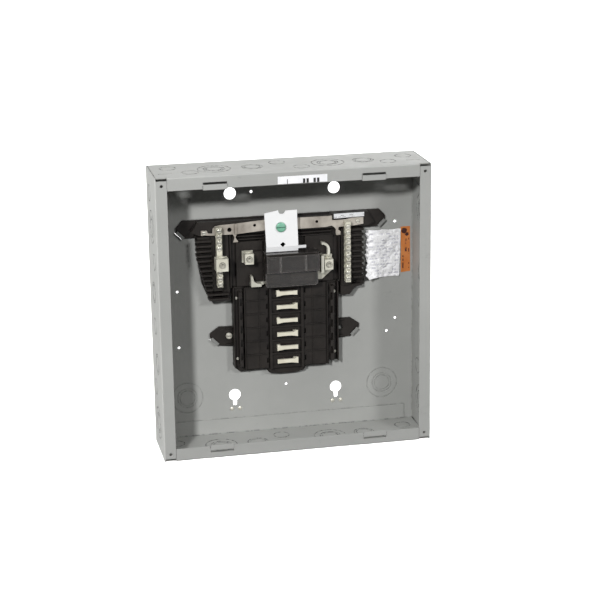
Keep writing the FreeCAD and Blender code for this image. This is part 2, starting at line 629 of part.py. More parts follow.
main_back = wall - s.platform_high - plate
pad_level = s.lug_bore_high + s.lug_bore_radius + s.lug_pad_gap
for side, across, up in (("left", s.lug_left_across, s.lug_left_up),
                         ("right", s.lug_right_across, s.lug_right_up)):
    swivel_pad(f"main_lug_{side}_pad", across, main_back - pad_level, up, 3.5)
    set_screw(f"main_lug_{side}_screw", across, main_back - pad_level - s.pad_thick, up,
              s.lug_screw_radius, 6.0, 2.3)

# ---------------------------------------------------------------- smoked shield
shield = Piece("line_shield", depth=wall)
low_front, up_front, skin = s.shield_lower_front, s.shield_upper_front, s.shield_wall
shield.pad("YZ", s.shield_left, s.shield_right - s.shield_left, poly(
    (-s.shield_back, s.shield_low), (-low_front, s.shield_low), (-low_front, s.shield_step),
    (-up_front, s.shield_step + 3), (-up_front, s.shield_up - 3), (3 - up_front, s.shield_up),
    (-s.shield_back, s.shield_up)))
shield.soften(4.0, lambda edge: runs_along(edge, 1)
              and abs(edge.Vertexes[0].Point.z - s.shield_low.value) < 1e-6)
shield.cut("YZ", s.shield_right - skin, s.shield_right - s.shield_left - 2 * skin, poly(
    (1 - s.shield_back, s.shield_low + skin), (skin - low_front, s.shield_low + skin),
    (skin - low_front, s.shield_step + skin), (skin - up_front, s.shield_step + skin + 3),
    (skin - up_front, s.shield_up - 3 - skin), (3 + skin - up_front, s.shield_up - skin),
    (1 - s.shield_back, s.shield_up - skin)))
shield.pad("XZ", s.line_floor, s.shield_back - s.line_floor + 2,
           rect(s.shield_left, s.shield_left + skin, 44, 52))
shield.pad("XZ", s.platform_high, s.shield_back - s.platform_high + 2,
           rect(s.shield_right - skin, s.shield_right, 44, 52))
ribs = [rect(across, across + 1.5, s.shield_step + 4, s.shield_up - 3.2) for across in (-12, 22)]
shield.pad("XZ", up_front, 0.8, *ribs)

# ---------------------------------------------------------------- neutral side
wing = Piece("wing_crossbar", depth=wall)
tip_low = s.wing_low - 4
wing.pad("XZ", 0, s.foot_thick, poly(
    (s.wing_left, s.wing_low + 11), (s.wing_left + 8, s.wing_up), (s.wing_right - 8, s.wing_up),
    (s.wing_right, s.wing_low + 11), (s.wing_right, s.wing_low + 4.9),
    (s.wing_right - 9, tip_low + 0.1), (108, tip_low + 0.1), (108, s.wing_low),
    (-121, s.wing_low), (-121, tip_low + 0.1), (s.wing_left + 9, tip_low + 0.1),
    (s.wing_left, s.wing_low + 4.9)))
wing.pad("XZ", s.foot_thick, s.wing_high - s.foot_thick, poly(
    (-126, 99), (-117, s.wing_up - 1), (-20, s.wing_up - 2), (62, s.wing_up - 2),
    (64, s.wing_up), (114, s.wing_up), (122, 99), (112, s.wing_low + 0.6),
    (-115, s.wing_low + 0.6)))
wing.cut("XZ", s.wing_high + 1, s.wing_high + 2,
         disc(s.bond_across, s.bond_up, s.bond_shank + s.screw_clearance))
wing.cut("XZ", s.wing_high, 8, disc(-75, 100.7, 2.4), disc(-41, 104.7, 1.8),
         disc(43.2, 104.4, 1.8), rect(-60, -52, 95.4, 98), rect(28, 36, 95.4, 98))

strap_level = wall - s.wing_high
strap = Piece("neutral_strap", depth=strap_level)
strap.pad("XZ", 0, s.strap_thick, poly(
    (-113, 95), (-105.4, 95), (-103.6, 94.6), (-98, 94.3), (-71, 94.3), (-68.8, 91.4),
    (-68.4, 89.4), (-70.4, 83.4), (-63.2, 83.4), (-67, 89.4), (-66.6, 91.4), (-65, 94.3),
    (-28, 97), (19, 96.2), (55, 96.2), (63.6, 97.6), (66, 96), (68.4, 93.4), (69.4, 91.4),
    (68.8, 87.4), (69.8, 84), (75.4, 84.4), (75.6, 88.8), (72.2, 91.4), (73, 95.2),
    (92, 95.6), (107, 97.5), (107, 106.5), (92, 106.5), (83, 104.7), (64, 104.7),
    (64, 111), (19, 111.2), (-28, 111.2), (-62, 108.8), (-88, 107.6), (-94, 106.6), (-97.4, 103),
    (-98, 97.2), (-103.6, 97.4), (-105.4, 101.4), (-113, 101.6)))
strap.pad("XZ", s.strap_thick, 1.6, rect(-68.3, -64.3, 94.6, 108))
strap.cut("XZ", s.strap_thick + 1, s.strap_thick + 2, disc(-75, 100.7, 3.0),
          disc(-41, 104.7, 2.0), disc(43.2, 104.4, 2.0),
          disc(s.bond_across, s.bond_up, s.bond_shank + s.screw_clearance))
strap.cut("XZ", s.strap_thick + 1, s.strap_thick + 2, disc(-109, 98.4, 1.7), disc(99, 101.6, 1.7))


def neutral_bar(label, across, low, up, terminals):
    bar = Piece(label, across, wall - s.wing_high - s.strap_thick)
    bar.pad("XZ", 0, s.neutral_deep, rect(-s.neutral_wide / 2, s.neutral_wide / 2, low, up))
    bar.cut("YZ", s.neutral_wide / 2 + 1, s.neutral_wide + 2,
            *[disc(-s.neutral_deep / 2 + 0.6, up, s.terminal_bore) for up in terminals])
    bar.cut("XZ", s.neutral_deep + 1, s.neutral_deep / 2 + 1,
            *[disc(0, up, s.terminal_hole) for up in terminals])


left_terminals = [s.neutral_left_low + 4 + s.terminal_pitch * n for n in range(3)]
left_terminals += [s.neutral_left_up - 4 - s.terminal_pitch * n for n in range(4)]
right_terminals = [s.neutral_right_low + 5.2 + s.terminal_pitch * n for n in range(10)]
neutral_bar("neutral_bar_left", s.neutral_left_across, s.neutral_left_low, s.neutral_left_up,
            left_terminals)
neutral_bar("neutral_bar_right", s.neutral_right_across, s.neutral_right_low,
            s.neutral_right_up, right_terminals)


def screw_group(label, places, depth, shank, shank_long, head, head_high, slot, across=0):
    """Slotted pan-head screws; the underside of the heads lies at the given depth."""
    group = Piece(label, across, depth, several=True)
    group.pad("XZ", 0, head_high, *[disc(u, v, head) for u, v in places])
    group.pad("XZ", -Size.of(shank_long), shank_long, *[disc(u, v, shank) for u, v in places])
    group.soften(Size.of(head_high) * 0.45, lambda edge: circle_at(
        edge, Size.of(head).value, Size.of(head_high).value))
    group.cut("XZ", head_high, Size.of(head_high) * 0.6,
              *[rect(u - head * 1.1, u + head * 1.1, v - slot, v + slot) for u, v in places])


bar_face = wall - s.wing_high - s.strap_thick - s.neutral_deep
for label, across, terminals in (
        ("neutral_screws_left", s.neutral_left_across, left_terminals),
        ("neutral_screws_right", s.neutral_right_across, right_terminals)):
    screw_group(label, [(Size.of(0), up) for up in terminals], bar_face, s.terminal_shank, 3.0,
                s.terminal_head, s.terminal_head_high, 0.5, across)
screw_group("interior_screw", [(s.foot_hole_across, s.foot_hole_up)], wall - s.foot_thick,
            2.0, s.foot_thick + s.sheet_gauge - 0.1, Size.of(4.4), 2.4, 0.6)
screw_group("connector_screws",
            [(side * s.link_screw_across, s.link_screw_up) for side in (-1, 1)],
            main_back, 2.1, 4.6, Size.of(3.4), 2.4, 0.6)
screw_group("rail_screws", [(side * 67.3, up) for side in (-1, 1) for up in (-80, 5)],
            wall - s.base_high - 2, 1.1, 1.9, Size.of(1.9), 1.4, 0.3)
screw_group("strap_screws", [(-109, 98.4), (99, 101.6)], strap_level - s.strap_thick, 1.6,
            1.9, Size.of(2.6), 1.8, 0.4)

# neutral wire lug on the left bar
lug_back = bar_face
neutral_lug = Piece("neutral_lug", s.neutral_lug_across, lug_back, s.neutral_lug_up)
neutral_lug.pad("XZ", 0, s.neutral_lug_high, rect(
    -s.neutral_lug_wide / 2, s.neutral_lug_wide / 2, -s.neutral_lug_long / 2,
    s.neutral_lug_long / 2))
neutral_lug.cut("XY", s.neutral_lug_long / 2 + 1, s.neutral_lug_long + 2,
                disc(0, -s.neutral_lug_bore_high, s.neutral_lug_bore))
neutral_lug.cut("XZ", s.neutral_lug_high + 1,
                s.neutral_lug_high + 1 - s.neutral_lug_bore_high,
                disc(0, 0, s.neutral_lug_hole))
neutral_lug.soften(1.2, lambda edge: runs_along(edge, 2) and abs(abs(edge.Vertexes[0].Point.x)
                   - s.neutral_lug_wide.value / 2) < 1e-6 and abs(edge.Vertexes[0].Point.y) > 5)
neutral_pad_level = s.neutral_lug_bore_high + 4.7
swivel_pad("neutral_lug_pad", s.neutral_lug_across, lug_back - neutral_pad_level,
           s.neutral_lug_up, 3.5)
set_screw("neutral_lug_screw", s.neutral_lug_across,
          lug_back - neutral_pad_level - s.pad_thick, s.neutral_lug_up,
          s.neutral_lug_screw, 6.0, 2.3)

# ribbed carriers under the neutral bars
carrier_high = s.wing_high + s.strap_thick
left_carrier = Piece("neutral_carrier_left", depth=wall)
left_carrier.pad("XZ", 0, 4, poly(
    (-120, 92.8), (-76, 92.8), (-76, 3), (-99, 3), (-104, 7), (-112, 26), (-116, 50)))
left_carrier.pad("XZ", 4, carrier_high - 4, rect(-99.5, -86, 18, 92.8))
left_carrier.pad("XZ", 4, 8, rect(-86, -76, 4, 92.8))
fins = []
for n in range(13):
    up = 6 + 6.7 * n
    reach = -102 - 18.0 * min(1.0, (up + 6) / 70)
    fins.append(rect(reach, -99.5 if up > 18 else -78, up, up + 2.6))
flank = poly((-99.5, 5), (-102.5, 7.5), (-110, 26), (-114.4, 50), (-118, 92), (-99.5, 92))
left_carrier.pad("XZ", 4, 9, flank)
left_carrier.pad("XZ", 4, 16, *fins)

right_carrier = Piece("neutral_carrier_right", depth=wall)
right_carrier.pad("XZ", 0, 4, poly(
    (76, 92.8), (106.8, 92.8), (106.8, 24), (111, 17.6), (110, 10.4), (97, 9), (93.4, 3.8),
    (89.2, -1.4), (76, -1.4)))
right_carrier.pad("XZ", 4, carrier_high - 4, rect(76, 89.5, 14, 92.8))
right_carrier.pad("XZ", 4, 9, poly(
    (76, 14), (105, 14), (105, 11), (96, 10.4), (92, 4.4), (88.4, 0), (76, 0)))
right_carrier.pad("XZ", 4, 17, *[rect(92 if up < 30 else 89.5, 106.4, up, up + 2.8)
                                 for up in [24 + 7.3 * n for n in range(10)]])
right_carrier.pad("XZ", 4, 11, rect(89.5, 105, 22.5, 92.4))

# bonding plate, spacer and screw
spacer = Piece("bonding_spacer", depth=wall - carrier_high)
spacer.pad("XZ", 0, 10, rect(s.bond_across - 9, s.bond_across + 9, 96, 110.6))
spacer.cut("XZ", 11, 12, disc(s.bond_across, s.bond_up, s.bond_shank + s.screw_clearance))

plate_back = carrier_high + 10
bond = Piece("bonding_plate", depth=wall)
bond.pad("XZ", plate_back, s.bond_plate_thick, poly(
    (s.bond_plate_left, s.bond_plate_up - 2.7), (-11.4, s.bond_plate_up + 0.6),
    (-10.6, s.bond_plate_up - 2.6), (-9, s.bond_plate_up - 4.4), (-5.4, s.bond_plate_up - 4.6),
    (-3.4, s.bond_plate_up - 3.4), (-1.4, s.bond_plate_up - 0.3),
    (s.bond_plate_right, s.bond_plate_up), (s.bond_plate_right + 1.2, s.bond_plate_bend),
    (s.bond_plate_left + 2, s.bond_plate_bend)))
bond.pad("YZ", s.bond_plate_left + 2, s.bond_tail_right - s.bond_plate_left - 2, poly(
    (-plate_back, s.bond_plate_bend + 0.4),
    (-plate_back - s.bond_plate_thick, s.bond_plate_bend + 0.4),
    (2 - plate_back - s.bond_plate_thick, s.bond_plate_low), (2 - plate_back, s.bond_plate_low)))
bond.cut("XZ", plate_back + 4, 8, rect(
    s.bond_plate_right + 1.2, s.bond_tail_right + 1, s.bond_plate_low - 1, s.bond_tail_low))
bond.cut("XZ", plate_back + 4, 8, poly((-9.4, 79.2), (-5.6, 75.4), (-1.8, 79.2), (-5.6, 82.4)))
bond.cut("XZ", plate_back + 4, 8,
         disc(s.bond_across, s.bond_up, s.bond_shank + s.screw_clearance))

bond_screw = Piece("bonding_screw", s.bond_across, wall - plate_back - s.bond_plate_thick,
                   s.bond_up)
bond_screw.pad("XZ", 0, s.bond_head_high, disc(0, 0, s.bond_head_radius))
bond_reach = plate_back + s.bond_plate_thick + s.sheet_gauge - 0.1
bond_screw.pad("XZ", -bond_reach, bond_reach, disc(0, 0, s.bond_shank))
bond_screw.soften(1.2, lambda edge: circle_at(edge, s.bond_head_radius.value,
                                              s.bond_head_high.value))
bond_screw.cut("XZ", s.bond_head_high, 2, rect(-7, 7, -0.7, 0.7))

# ---------------------------------------------------------------- check and write
doc.recompute()
for item in doc.Objects:
    if "Invalid" in item.State or "Error" in item.State:
        raise ValueError(f"{item.Label}: {item.State}")
for piece in pieces:
    shape = piece.body.Shape
    if shape.isNull() or not shape.isValid() or not shape.Solids:
        raise ValueError(f"{piece.body.Label}: bad shape")
    for before, after in piece.cuts:
        if after.Shape.Volume > before.Shape.Volume - 1e-6:
            raise ValueError(f"{piece.body.Label}: a pocket removed nothing")
    shape.exportStep(f"parts/{piece.body.Label}.step")
    box = shape.BoundBox
    print(f"{piece.body.Label:24s} solids {len(shape.Solids):2d}  "
          f"x {box.XMin:8.2f} {box.XMax:8.2f}  y {box.YMin:7.2f} {box.YMax:7.2f}  "
          f"z {box.ZMin:8.2f} {box.ZMax:8.2f}")
print(len(pieces), "pieces written")
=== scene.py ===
import json
import math

import bpy
from mathutils import Matrix, Vector, noise


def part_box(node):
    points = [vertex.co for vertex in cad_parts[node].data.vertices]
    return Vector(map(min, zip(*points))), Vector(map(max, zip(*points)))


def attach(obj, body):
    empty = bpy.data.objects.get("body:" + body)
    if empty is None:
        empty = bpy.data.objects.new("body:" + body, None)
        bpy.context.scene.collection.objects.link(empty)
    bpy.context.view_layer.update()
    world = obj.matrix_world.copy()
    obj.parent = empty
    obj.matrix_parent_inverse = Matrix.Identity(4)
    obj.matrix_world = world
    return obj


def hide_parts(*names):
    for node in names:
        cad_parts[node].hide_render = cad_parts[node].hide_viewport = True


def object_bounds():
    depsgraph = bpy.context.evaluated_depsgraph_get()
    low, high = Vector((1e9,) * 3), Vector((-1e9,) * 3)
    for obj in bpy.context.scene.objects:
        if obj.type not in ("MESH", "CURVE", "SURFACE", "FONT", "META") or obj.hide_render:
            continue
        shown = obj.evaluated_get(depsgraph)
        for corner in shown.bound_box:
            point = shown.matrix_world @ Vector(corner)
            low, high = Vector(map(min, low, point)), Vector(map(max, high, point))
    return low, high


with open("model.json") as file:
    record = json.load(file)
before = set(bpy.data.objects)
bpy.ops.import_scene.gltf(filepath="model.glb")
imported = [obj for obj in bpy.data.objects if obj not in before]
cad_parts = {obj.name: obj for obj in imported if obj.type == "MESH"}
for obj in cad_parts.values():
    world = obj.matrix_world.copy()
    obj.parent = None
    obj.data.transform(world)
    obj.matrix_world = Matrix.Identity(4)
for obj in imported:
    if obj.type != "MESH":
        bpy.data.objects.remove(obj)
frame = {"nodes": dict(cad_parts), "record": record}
cad_low, cad_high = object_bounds()
nodes = frame["nodes"]

MM = 0.001
WALL = -1.5                  # inner face of the box's back, mm
HALF_WIDTH = 180.97          # outer faces of the side walls, mm
HALF_HEIGHT = 190.0          # outer faces of the end walls, mm
BOTH = (-1, 1)               # left and right, or lower and upper
SMOOTH_STEP = 0.2 * MM       # soft edge of a printed area


def linear(r, g, b):
    """Linear colour from 0-255 display values."""
    return tuple(((c / 255 + 0.055) / 1.055) ** 2.4 if c > 10 else c / 255 / 12.92
                 for c in (r, g, b)) + (1.0,)


# ---------------------------------------------------------------- materials
class Finish:
    """A node material on object coordinates (metres) around one Principled shader.

    noise, axis, crevice, blocks, blotch, near_middle and edge_mask return factor sockets;
    ramp, times, mix and shade combine them.
    """

    def __init__(self, name, roughness=0.5, metallic=0.0, specular=0.5):
        self.material = bpy.data.materials.new(name)
        self.material.use_nodes = True
        self.tree = self.material.node_tree
        self.bsdf = self.tree.nodes["Principled BSDF"]
        self.bsdf.inputs["Metallic"].default_value = metallic
        self.bsdf.inputs["Roughness"].default_value = roughness
        self.bsdf.inputs["Specular IOR Level"].default_value = specular
        self.coords = self.add("ShaderNodeTexCoord").outputs["Object"]
        self.normal = None

    def add(self, kind, **settings):
        """A new node of this kind with these settings."""
        node = self.tree.nodes.new(kind)
        for key, value in settings.items():
            setattr(node, key, value)
        return node

    def link(self, source, target):
        """Feed an input socket from an output socket."""
        self.tree.links.new(source, target)

    def place(self, scale, turn):
        """Object coordinates stretched and turned."""
        mapping = self.add("ShaderNodeMapping")
        mapping.inputs["Scale"].default_value = scale
        mapping.inputs["Rotation"].default_value = turn
        self.link(self.coords, mapping.inputs["Vector"])
        return mapping.outputs["Vector"]

    def noise(self, scale, detail=4.0, rough=0.55, stretch=(1, 1, 1), turn=(0, 0, 0)):
        """Noise factor; scale is in waves per metre."""
        node = self.add("ShaderNodeTexNoise")
        node.inputs["Scale"].default_value = scale
        node.inputs["Detail"].default_value = detail
        node.inputs["Roughness"].default_value = rough
        self.link(self.place(stretch, turn), node.inputs["Vector"])
        return node.outputs["Fac"]

    def ramp(self, value, low, high, out_low=0.0, out_high=1.0):
        """Map low..high to out_low..out_high and clamp it."""
        node = self.add("ShaderNodeMapRange", clamp=True)
        for key, number in (("From Min", low), ("From Max", high),
                            ("To Min", out_low), ("To Max", out_high)):
            node.inputs[key].default_value = number
        self.link(value, node.inputs["Value"])
        return node.outputs["Result"]

    def times(self, a, b):
        """Product of two factor sockets."""
        node = self.add("ShaderNodeMath", operation="MULTIPLY")
        self.link(a, node.inputs[0])
        self.link(b, node.inputs[1])
        return node.outputs[0]

    def mix(self, factor, low, high):
        """Colour between two colours (or a colour and a socket) by a factor socket."""
        node = self.add("ShaderNodeMix", data_type="RGBA")
        self.link(factor, node.inputs["Factor"])
        for value, socket in ((low, node.inputs["A"]), (high, node.inputs["B"])):
            if isinstance(value, tuple):
                socket.default_value = value
            else:
                self.link(value, socket)
        return node.outputs["Result"]

    def colour(self, socket):
        """Use a colour socket as base colour."""
        self.link(socket, self.bsdf.inputs["Base Color"])

    def roughness(self, socket):
        """Use a factor socket as roughness."""
        self.link(socket, self.bsdf.inputs["Roughness"])

    def shade(self, socket, factor):
        """Multiply a colour by a grey factor socket."""
        node = self.add("ShaderNodeVectorMath", operation="SCALE")
        self.link(socket, node.inputs[0])
        self.link(factor, node.inputs["Scale"])
        return node.outputs["Vector"]

    def crevice_shade(self, reach, low, high, out_low, out_high=1.0):
        """Painted shade: a grey factor that falls in grooves and inner corners within reach."""
        node = self.add("ShaderNodeAmbientOcclusion", samples=8)
        node.inputs["Distance"].default_value = reach
        return self.ramp(node.outputs["AO"], low, high, out_low, out_high)

    def blocks(self, wide, high, inside, along=0, share=0.5, gap=0.3, worn=900):
        """1 inside random plain blocks in rows; inside lists (axis, low, high) margins."""
        flat = self.add("ShaderNodeCombineXYZ")
        self.link(self.axis(along), flat.inputs[0])
        self.link(self.axis(2 - along), flat.inputs[1])
        rows = self.add("ShaderNodeTexBrick", offset=0.37, squash=1.0)
        for key, number in (("Scale", 1.0), ("Brick Width", wide), ("Row Height", high),
                            ("Mortar Size", min(wide, high) * gap), ("Mortar Smooth", 0.0),
                            ("Bias", 0.0)):
            rows.inputs[key].default_value = number
        for key, grey in (("Color1", 0.0), ("Color2", 1.0), ("Mortar", 0.0)):
            rows.inputs[key].default_value = (grey, grey, grey, 1.0)
        self.link(flat.outputs[0], rows.inputs["Vector"])
        shown = self.ramp(rows.outputs["Color"], 1.0 - share, 1.02 - share)
        if worn:
            shown = self.times(shown, self.ramp(self.noise(worn, 2, 0.5), 0.36, 0.46))
        for index, low, high_edge in inside:
            after_low = self.ramp(self.axis(index), low, low + SMOOTH_STEP)
            before_high = self.ramp(self.axis(index), high_edge - SMOOTH_STEP, high_edge, 1.0, 0.0)
            shown = self.times(shown, after_low)
            shown = self.times(shown, before_high)
        return shown

    def blotch(self, place, radius):
        """1 inside a ragged spot around a place (metres)."""
        away = self.add("ShaderNodeVectorMath", operation="DISTANCE")
        self.link(self.coords, away.inputs[0])
        away.inputs[1].default_value = place
        ragged = self.add("ShaderNodeMath", operation="MULTIPLY_ADD")
        self.link(self.noise(500, 3, 0.6), ragged.inputs[0])
        ragged.inputs[1].default_value = -radius
        self.link(away.outputs["Value"], ragged.inputs[2])
        return self.ramp(ragged.outputs[0], radius * 0.4, radius * 0.5, 1.0, 0.0)

    def axis(self, index):
        """One object coordinate: 0 across, 1 into the wall, 2 up."""
        split = self.add("ShaderNodeSeparateXYZ")
        self.link(self.coords, split.inputs[0])
        return split.outputs[index]

    def near_middle(self, index, reach):
        """1 where the distance from the middle along an axis is under reach."""
        size = self.add("ShaderNodeMath", operation="ABSOLUTE")
        self.link(self.axis(index), size.inputs[0])
        return self.ramp(size.outputs[0], reach, reach + 0.001, 1.0, 0.0)

    def soft_edges(self, radius):
        """Round the shading normal over sharp edges."""
        node = self.add("ShaderNodeBevel", samples=4)
        node.inputs["Radius"].default_value = radius
        self.normal = node.outputs["Normal"]
        self.link(self.normal, self.bsdf.inputs["Normal"])

    def bump(self, height, distance, strength):
        """Add a bump on top of the normal so far."""
        node = self.add("ShaderNodeBump")
        node.inputs["Strength"].default_value = strength
        node.inputs["Distance"].default_value = distance
        self.link(height, node.inputs["Height"])
        if self.normal is not None:
            self.link(self.normal, node.inputs["Normal"])
        self.normal = node.outputs["Normal"]
        self.link(self.normal, self.bsdf.inputs["Normal"])

    def edge_mask(self, radius, low=0.02, high=0.25):
        """1 on sharp edges, 0 on flats: how far the rounded normal leans from the true one."""
        bevel = self.add("ShaderNodeBevel", samples=4)
        bevel.inputs["Radius"].default_value = radius
        geometry = self.add("ShaderNodeNewGeometry")
        dot = self.add("ShaderNodeVectorMath", operation="DOT_PRODUCT")
        self.link(bevel.outputs["Normal"], dot.inputs[0])
        self.link(geometry.outputs["Normal"], dot.inputs[1])
        return self.ramp(dot.outputs["Value"], 1.0 - low, 1.0 - high, 0.0, 1.0)


def scaled(colour, factor, lift=0.0):
    """A colour made darker or lighter, no channel past 1."""
    return tuple(min(1.0, c * factor + lift) for c in colour[:3]) + (1.0,)


def painted_sheet(name, light, dark, chip):
    """Semi-gloss paint on steel: smudges, chipped edges, and painted shade as dark broken lines in
    the grooves and on the lanced hook tabs.
    """
    f = Finish(name, specular=0.14)
    fine = f.noise(160, 4, 0.6)
    grime = f.ramp(f.noise(24, 6, 0.7), 0.58, 0.75)
    tone = f.mix(f.ramp(f.noise(7, 5, 0.6), 0.35, 0.68), dark, light)
    tone = f.mix(f.ramp(f.times(grime, fine), 0.2, 0.6, 0.0, 0.45), tone, scaled(dark, 0.84))
    worn = f.times(f.edge_mask(0.0006), f.ramp(f.noise(300, 3), 0.60, 0.72))
    tone = f.mix(f.ramp(worn, 0.1, 0.6, 0.0, 0.5), tone, chip)
    # Painted shade on the lanced hook tabs: away from the walls and just in front of the back's
    # inner face.
    standing = f.times(f.near_middle(0, 0.15), f.near_middle(2, 0.15))
    hook_shade = f.times(standing, f.ramp(f.axis(1), -0.0026, -0.0018, 1.0, 0.0))
    # One darker tone for the painted hook shade and for the real stains.
    stain_and_shade_tone = scaled(dark, 0.5)
    tone = f.mix(f.ramp(hook_shade, 0.0, 1.0, 0.0, 0.7), tone, stain_and_shade_tone)
    # Painted shade: darker in grooves and inner corners, broken up by noise.
    groove = f.crevice_shade(0.0022, 0.55, 0.97, 1.0, 0.0)
    broken = f.ramp(f.noise(170, 3, 0.6), 0.45, 0.56, 0.12, 1.0)
    # The painted groove shade is weaker in the back itself than in the walls.
    on_sides = f.ramp(f.axis(1), -0.0045, -0.0025, 1.0, 0.3)
    painted_groove_shade = f.times(f.times(groove, broken), on_sides)
    stains = f.times(f.ramp(f.noise(38, 7, 0.8, (1, 1, 1.6)), 0.60, 0.70, 0.0, 1.0),
                     f.ramp(f.noise(9, 3, 0.6), 0.48, 0.62))
    tone = f.mix(f.ramp(stains, 0.0, 1.0, 0.0, 0.35), tone, stain_and_shade_tone)
    # Painted shade darkens the colour along the grooves.
    f.colour(f.shade(tone, f.ramp(painted_groove_shade, 0.0, 0.8, 1.0, 0.12)))
    f.roughness(f.ramp(f.noise(60, 5), 0.3, 0.7, 0.40, 0.58))
    f.soft_edges(0.0004)
    f.bump(f.noise(1500, 2, 0.5), 0.00003, 0.8)
    f.bump(f.noise(14, 3, 0.5), 0.0008, 0.25)
    return f.material


def moulding(name, base, light, specular, dusty):
    """Dark thermoset moulding with dust in patches, paler edges that are a painted highlight, and
    painted shade in its hollows.
    """
    f = Finish(name, specular=specular)
    tone = f.mix(f.ramp(f.noise(40, 5, 0.6), 0.35, 0.7), base, light)
    dust = f.times(f.ramp(f.noise(90, 6, 0.7), 0.55, 0.8), f.ramp(f.noise(12, 3), 0.4, 0.7))
    # One pale grey for the real dust and for the painted edge highlight.
    grey = scaled(light, 2.2, 0.01)
    tone = f.mix(f.ramp(dust, 0.0, 1.0, 0.0, dusty), tone, grey)
    # Paler edges: a painted highlight.
    tone = f.mix(f.ramp(f.edge_mask(0.0005), 0.0, 1.0, 0.0, 0.35), tone, grey)
    # Painted shade in corners and hollows.
    f.colour(f.shade(tone, f.crevice_shade(0.003, 0.3, 0.9, 0.3)))
    f.roughness(f.ramp(f.noise(120, 4), 0.3, 0.7, 0.34, 0.56))
    f.soft_edges(0.0005)
    f.bump(f.noise(2600, 2, 0.5), 0.00002, 0.7)
    f.bump(f.noise(70, 3, 0.5), 0.0002, 0.25)
    return f.material


def smoked(name, tint):
    """See-through dark plastic, cloudy and scuffed, with painted highlights along its edges."""
    f = Finish(name, specular=0.5)
    f.bsdf.inputs["IOR"].default_value = 1.45
    haze = f.ramp(f.noise(45, 5, 0.6, (1, 1, 3)), 0.35, 0.7)
    tone = f.mix(haze, tint, scaled(tint, 1.35))
    # One pale tone for the real scuffs and for the painted edge highlight.
    scuff_and_highlight_tone = scaled(tint, 3.0, 0.16)
    # Edges: less see-through and painted paler, a painted highlight.
    edge = f.edge_mask(0.0016, 0.01, 0.16)
    f.link(f.ramp(edge, 0.0, 1.0, 0.8, 0.25), f.bsdf.inputs["Transmission Weight"])
    scuffs = f.ramp(f.noise(70, 6, 0.75, (1, 1, 5), (0, 0.4, 0)), 0.60, 0.72, 0.0, 0.16)
    tone = f.mix(scuffs, tone, scuff_and_highlight_tone)
    f.colour(f.mix(f.ramp(edge, 0.0, 1.0, 0.0, 0.8), tone, scuff_and_highlight_tone))
    f.roughness(f.ramp(f.noise(120, 4), 0.3, 0.7, 0.08, 0.22))
    f.soft_edges(0.0008)
    f.bump(f.noise(90, 3, 0.5), 0.0002, 0.3)
    return f.material


def plated(name, base, shade, rough=(0.22, 0.42), stretch=(1, 1, 12), grain=900, tarnish=0.3,
           metallic=1.0):
    """Plated or bare metal, brushed along the axis that stretch makes fine, with dull spots and
    painted shade in its hollows.
    """
    f = Finish(name, metallic=metallic)
    brushed = f.noise(grain, 3, 0.6, stretch)
    spots = f.ramp(f.noise(220, 6, 0.7), 0.52, 0.75)
    tone = f.mix(f.ramp(f.noise(55, 4), 0.3, 0.7), shade, base)
    tone = f.mix(f.ramp(spots, 0.0, 1.0, 0.0, tarnish), tone, scaled(shade, 0.6))
    # Painted shade in hollows and inner corners.
    f.colour(f.shade(tone, f.crevice_shade(0.0015, 0.3, 0.9, 0.25)))
    f.roughness(f.ramp(brushed, 0.3, 0.7, *rough))
    f.soft_edges(0.0003)
    f.bump(brushed, 0.00003, 0.5)
    f.bump(f.noise(260, 4), 0.00010, 0.3)
    return f.material


def paper(name, base, shade, rough=0.5, marks=None):
    """Label stock; marks are rows of plain blocks where the real one is printed."""
    f = Finish(name, roughness=rough)
    tone = f.mix(f.ramp(f.noise(70, 5, 0.6), 0.35, 0.7), shade, base)
    if marks is not None:
        tone = f.mix(f.blocks(**marks["layout"]), tone, marks["ink"])
        for place, radius in marks.get("spots", ()):
            tone = f.mix(f.blotch(place, radius), tone, marks["ink"])
    f.colour(tone)
    f.roughness(f.ramp(f.noise(200, 3), 0.3, 0.7, rough - 0.1, rough + 0.1))
    f.bump(f.noise(60, 4, 0.6), 0.0006, 0.5)
    return f.material


# Plain blocks where the real labels are printed, in metres. "inside" bounds them along an axis.
ORANGE_MARKS = {
    "ink": linear(70, 36, 28),
    "layout": {"wide": 0.0100, "high": 0.0048, "along": 2, "share": 0.6, "gap": 0.2,
               "worn": 200, "inside": [(0, 0.1652, 0.1750), (2, 0.0250, 0.0700)]},
    "spots": [((0.1680, -0.0017, 0.0800), 0.0042), ((0.1718, -0.0017, 0.0752), 0.0026)],
}
WING_MARKS = {
    "ink": linear(120, 120, 122),
    "layout": {"wide": 0.0060, "high": 0.0021, "inside": [(2, 0.1078, 0.1122)]},
}
BAR_MARKS = {
    "ink": linear(38, 37, 37),
    "layout": {"wide": 0.0046, "high": 0.0500, "share": 0.75, "gap": 0.16, "worn": None,
               "inside": [(0, -0.0110, 0.0330), (2, 0.1740, 0.1800)]},
}
SHEET_MARKS = {
    "ink": linear(212, 212, 219),
    "layout": {"wide": 0.0080, "high": 0.0042, "share": 0.6, "gap": 0.25, "worn": 180,
               "inside": [(0, 0.1170, 0.1600), (2, 0.0220, 0.0810)]},
}

